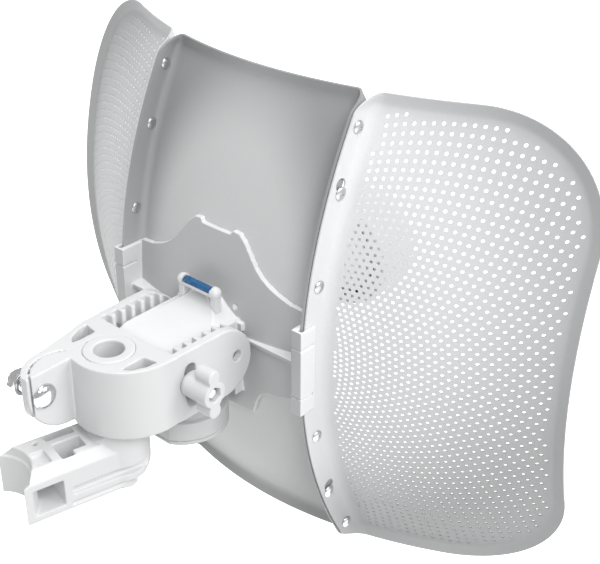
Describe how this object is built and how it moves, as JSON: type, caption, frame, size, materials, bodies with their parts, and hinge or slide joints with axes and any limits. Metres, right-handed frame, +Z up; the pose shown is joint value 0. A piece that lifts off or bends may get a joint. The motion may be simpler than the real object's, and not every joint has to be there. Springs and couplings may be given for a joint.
{
  "type": "outdoor wireless bridge",
  "caption": "Outdoor wireless bridge: a panelled dish reflector with a centre feed, on a tilting yoke clamped to the post of a pole bracket.",
  "frame": {"origin": "on the mast's axis, at the middle of the saddle's height", "axes": "+Z up along the mast, +Y along the radio beam at rest, +X to the right seen from behind the dish"},
  "size_m": [0.358, 0.2724, 0.272],
  "materials": {
    "bracket_plastic": "satin",
    "yoke_plastic": "satin",
    "center_panel": "satin",
    "wing_panel": "satin",
    "bolt_steel": "polished",
    "rivet_metal": "satin",
    "pin_steel": "satin",
    "washer_nylon": "matte",
    "knob_plastic": "satin",
    "insert_brass": "satin",
    "level_plastic": "gloss",
    "vial_clear": "gloss",
    "vial_fluid": "gloss",
    "shroud_plastic": "satin",
    "seal_rubber": "matte",
    "jack_metal": "satin",
    "contact_gold": "polished",
    "board_green": "satin",
    "button_rubber": "matte",
    "light_pipe": "gloss",
    "feed_plastic": "satin",
    "reflector_aluminium": "satin",
    "horn_aluminium": "satin",
    "shield_metal": "satin",
    "ribbon_plastic": "satin"
  },
  "bodies": {
    "root": {"pole_bracket": "bracket_plastic"},
    "yoke": {"yoke": "yoke_plastic", "clamp_bolt": "bolt_steel", "clamp_washer": "bolt_steel"},
    "clamp_nut": {"clamp_nut": "bolt_steel"},
    "lock_knob": {"lock_knob": "knob_plastic", "knob_insert": "insert_brass"},
    "port_door": {"port_door": "shroud_plastic"},
    "reset_button": {"reset_button": "button_rubber"},
    "dish": {"center_reflector": "center_panel", "left_reflector_wing": "wing_panel", "right_reflector_wing": "wing_panel", "seam_rivets": "rivet_metal", "keyhole_studs": "rivet_metal", "rear_bracket": "bracket_plastic", "tilt_pivot_pin": "pin_steel", "lock_bolt": "bolt_steel", "lock_washers": "washer_nylon", "level_cradle": "level_plastic", "level_vial": "vial_clear", "level_fluid": "vial_fluid", "port_shroud": "shroud_plastic", "shroud_screws": "bolt_steel", "door_hinge_pin": "pin_steel", "door_gasket": "seal_rubber", "ethernet_jack": "jack_metal", "jack_contacts": "contact_gold", "jack_board": "board_green", "status_lights": "light_pipe", "feed_housing": "feed_plastic", "feed_seal": "seal_rubber", "feed_cap": "feed_plastic", "feed_screws": "bolt_steel", "sub_reflector": "reflector_aluminium", "feed_horn": "horn_aluminium", "horn_probe": "contact_gold", "radio_board": "board_green", "rf_shield": "shield_metal", "board_ribbon": "ribbon_plastic"}
  },
  "joints": [
    {"name": "azimuth_turn", "type": "hinge", "parent": "root", "child": "yoke", "pos_m": [0.01679, 0.06538, 0.044], "axis": [0, 0, 1], "range_deg": [-104.4, 75.6]},
    {"name": "tilt", "type": "hinge", "parent": "yoke", "child": "dish", "pos_m": [0.01679, 0.12258, 0.044], "axis": [1, 0, 0], "range_deg": [-10, 20]},
    {"name": "clamp_nut_spin", "type": "hinge", "parent": "yoke", "child": "clamp_nut", "pos_m": [-0.01, 0.03038, 0.049], "axis": [1, 0, 0], "continuous": true},
    {"name": "lock_knob_spin", "type": "hinge", "parent": "dish", "child": "lock_knob", "pos_m": [0.05679, 0.08988, 0.044], "axis": [1, 0, 0], "continuous": true},
    {"name": "port_door_hinge", "type": "hinge", "parent": "dish", "child": "port_door", "pos_m": [0.01679, 0.13388, -0.0056], "axis": [1, 0, 0], "range_deg": [0, 90]},
    {"name": "reset_press", "type": "slide", "parent": "dish", "child": "reset_button", "axis": [0, 0, 1], "range_m": [0, 0.0008], "stiffness_N_per_m": 600}
  ]
}
